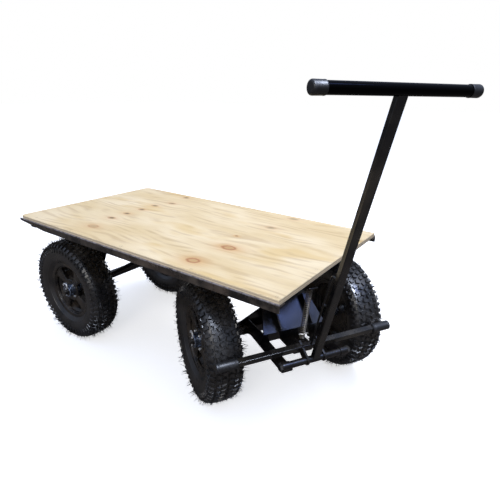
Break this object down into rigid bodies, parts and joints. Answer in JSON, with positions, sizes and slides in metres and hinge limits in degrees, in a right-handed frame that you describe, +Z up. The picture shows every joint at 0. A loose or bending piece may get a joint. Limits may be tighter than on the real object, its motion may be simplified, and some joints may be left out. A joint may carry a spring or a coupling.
{
  "type": "platform cart",
  "caption": "Flat plywood deck on a black steel frame with air-filled tyres, a steered front carriage on a turntable, and a sprung T-bar tow handle that brakes the front tyres.",
  "frame": {"origin": "middle of the underside of the whole cart's box, on the floor, with the front carriage steered to the right as pictured", "axes": "+X to the front of the cart along the deck's length, +Y to the cart's left side, +Z up"},
  "size_m": [1.491, 0.7674, 0.9625],
  "materials": {
    "black_enamel": "gloss black enamel",
    "pine_plywood": "pale pine plywood with a thin clear coat",
    "zinc_steel": "bright zinc plating",
    "tyre_rubber": "black moulded tyre rubber",
    "sleeve_rubber": "matt black hose rubber",
    "cap_plastic": "satin black moulded plastic"
  },
  "bodies": {
    "frame": {"deck_panel": "pine_plywood", "rail_left": "black_enamel", "rail_right": "black_enamel", "cross_rear": "black_enamel", "cross_rear_inner": "black_enamel", "cross_middle": "black_enamel", "cross_front_inner": "black_enamel", "cross_front": "black_enamel", "cross_front_end": "black_enamel", "turntable_upper_plate": "black_enamel", "king_pin": "zinc_steel", "rear_axle_beam": "black_enamel", "rear_axle_shaft": "zinc_steel", "rear_axle_pin_left": "zinc_steel", "rear_axle_pin_right": "zinc_steel", "rear_hanger_left": "black_enamel", "rear_hanger_right": "black_enamel", "brace_left": "black_enamel", "brace_right": "black_enamel"},
    "carriage": {"turntable_lower_plate": "black_enamel", "turntable_race": "zinc_steel", "king_post": "black_enamel", "carriage_gusset": "black_enamel", "carriage_saddle": "black_enamel", "saddle_rib_left": "black_enamel", "saddle_rib_right": "black_enamel", "front_axle_beam": "black_enamel", "front_axle_stub_left": "zinc_steel", "front_axle_stub_right": "zinc_steel", "front_axle_pin_left": "zinc_steel", "front_axle_pin_right": "zinc_steel", "drawbar_arm_left": "black_enamel", "drawbar_arm_right": "black_enamel", "drawbar_tongue": "black_enamel", "hinge_bolt": "zinc_steel", "return_spring": "zinc_steel"},
    "handle": {"hinge_barrel": "black_enamel", "handle_stem": "black_enamel", "handle_tbar": "black_enamel", "handle_cap_left": "cap_plastic", "handle_cap_right": "cap_plastic", "brake_bar": "black_enamel", "brake_sleeve_left": "sleeve_rubber", "brake_sleeve_right": "sleeve_rubber", "brake_lug_left": "black_enamel", "brake_lug_right": "black_enamel", "stay_rod": "black_enamel", "spring_seat": "black_enamel"},
    "wheel_front_left": {"front_left_tyre": "tyre_rubber", "front_left_rim": "black_enamel", "front_left_hub": "black_enamel"},
    "wheel_front_right": {"front_right_tyre": "tyre_rubber", "front_right_rim": "black_enamel", "front_right_hub": "black_enamel"},
    "wheel_rear_left": {"rear_left_tyre": "tyre_rubber", "rear_left_rim": "black_enamel", "rear_left_hub": "black_enamel"},
    "wheel_rear_right": {"rear_right_tyre": "tyre_rubber", "rear_right_rim": "black_enamel", "rear_right_hub": "black_enamel"}
  },
  "joints": [
    {"name": "steer", "type": "hinge", "parent": "frame", "child": "carriage", "pos_m": [0.23551, 0.03098, 0.2], "axis": [0, 0, 1], "range_deg": [-9.7, 70.3]},
    {"name": "handle_hinge", "type": "hinge", "parent": "carriage", "child": "handle", "pos_m": [0.4505, -0.09465, 0.2155], "axis": [0.5045, 0.8634, 0], "range_deg": [0, 75], "stiffness_Nm_per_rad": 14, "springref_deg": -34.38, "deforming": ["return_spring"]},
    {"name": "front_left_spin", "type": "hinge", "parent": "carriage", "child": "wheel_front_left", "pos_m": [0.36164, 0.24683, 0.2], "axis": [0.5045, 0.8634, 0], "continuous": true},
    {"name": "front_right_spin", "type": "hinge", "parent": "carriage", "child": "wheel_front_right", "pos_m": [0.10938, -0.18487, 0.2], "axis": [0.5045, 0.8634, 0], "continuous": true},
    {"name": "rear_left_spin", "type": "hinge", "parent": "frame", "child": "wheel_rear_left", "pos_m": [-0.54449, 0.28098, 0.2], "axis": [0, 1, 0], "continuous": true},
    {"name": "rear_right_spin", "type": "hinge", "parent": "frame", "child": "wheel_rear_right", "pos_m": [-0.54449, -0.21902, 0.2], "axis": [0, 1, 0], "continuous": true}
  ]
}
